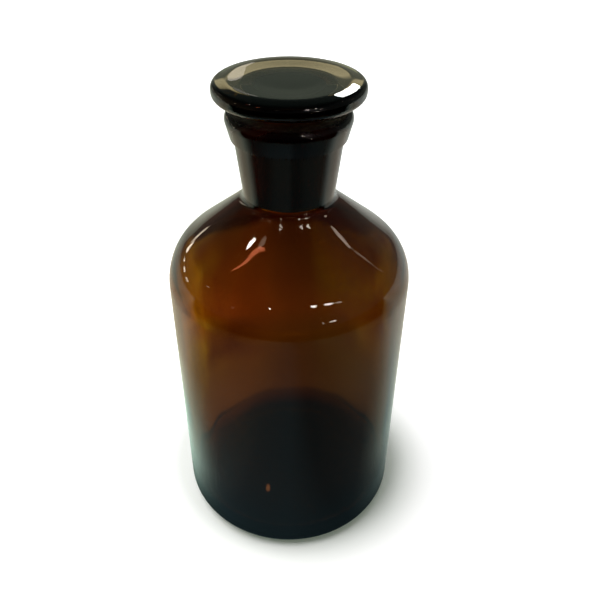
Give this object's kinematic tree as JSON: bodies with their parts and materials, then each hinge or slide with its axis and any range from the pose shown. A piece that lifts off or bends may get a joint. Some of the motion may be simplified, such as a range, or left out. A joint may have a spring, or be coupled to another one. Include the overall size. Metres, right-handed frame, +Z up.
{
  "type": "reagent bottle",
  "caption": "Amber glass narrow-mouth reagent bottle with a flared neck and lip, and a ground-in solid glass stopper with a flat disc head.",
  "frame": {"origin": "centre of the circle that the bottle stands on", "axes": "+Z up along the bottle's axis, from the base to the stopper; X and Y are free, because both pieces are turned shapes"},
  "size_m": [0.07, 0.07, 0.1436],
  "materials": {
    "bottle_glass": "clear amber glass, fire-polished, with a matt ground socket in the neck",
    "stopper_glass": "thick dark amber glass, polished head and matt ground plug"
  },
  "bodies": {
    "bottle": {"bottle": "bottle_glass"},
    "stopper": {"stopper": "stopper_glass"}
  },
  "joints": [
    {"name": "stopper_lift", "type": "slide", "parent": "bottle", "child": "stopper", "axis": [0, 0, 1], "range_m": [0, 0.045]}
  ]
}
